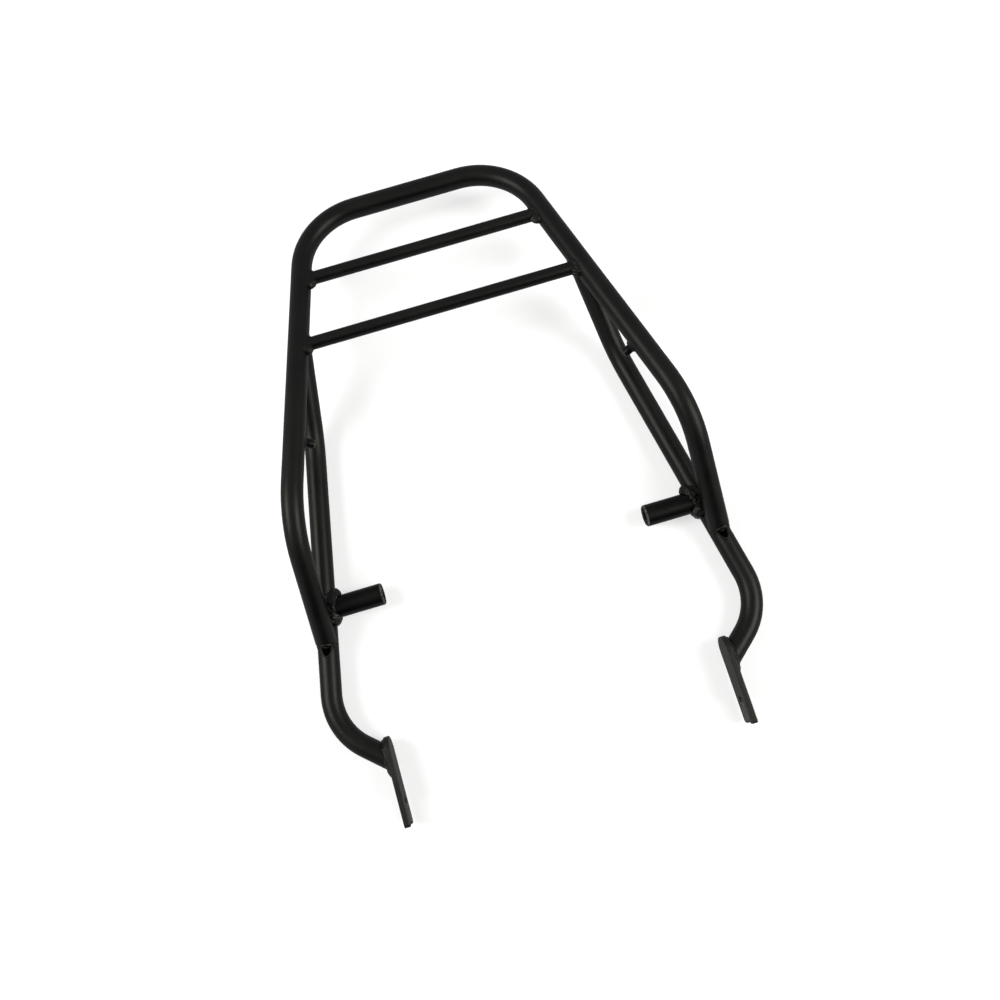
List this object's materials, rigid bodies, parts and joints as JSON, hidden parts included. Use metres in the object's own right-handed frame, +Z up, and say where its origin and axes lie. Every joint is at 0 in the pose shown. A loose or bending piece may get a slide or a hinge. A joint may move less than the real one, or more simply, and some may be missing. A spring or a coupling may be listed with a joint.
{
  "type": "motorcycle luggage rack",
  "caption": "Bent and welded tube rack that bolts over the tail of a motorcycle by open forks and spacer bosses and carries luggage on its rear hoop.",
  "frame": {"origin": "under the middle of the rack's outer box, level with its lowest point, the lower corner of the fork tines", "axes": "+Y to the rear of the vehicle, along the rack from the open forks to the closed hoop; +Z up, square to the level carrying hoop; +X to the left of the vehicle"},
  "size_m": [0.4036, 0.5582, 0.1333],
  "materials": {
    "powder_coat": "satin black powder coat on bent steel tube",
    "plate_coat": "satin black powder coat on flat steel plate",
    "weld_coat": "satin black powder coat over rippled weld beads"
  },
  "bodies": {
    "root": {"hoop_tube": "powder_coat", "rear_crossbar": "powder_coat", "front_crossbar": "powder_coat", "left_side_tube": "powder_coat", "right_side_tube": "powder_coat", "left_spacer_boss": "powder_coat", "right_spacer_boss": "powder_coat", "left_fork_plate": "plate_coat", "right_fork_plate": "plate_coat", "left_cord_peg": "powder_coat", "right_cord_peg": "powder_coat", "left_rear_crossbar_weld": "weld_coat", "right_rear_crossbar_weld": "weld_coat", "left_front_crossbar_weld": "weld_coat", "right_front_crossbar_weld": "weld_coat", "left_side_tube_weld": "weld_coat", "right_side_tube_weld": "weld_coat", "left_hoop_leg_weld": "weld_coat", "right_hoop_leg_weld": "weld_coat", "left_boss_weld": "weld_coat", "right_boss_weld": "weld_coat", "left_fork_weld": "weld_coat", "right_fork_weld": "weld_coat", "left_peg_weld": "weld_coat", "right_peg_weld": "weld_coat"}
  },
  "joints": []
}
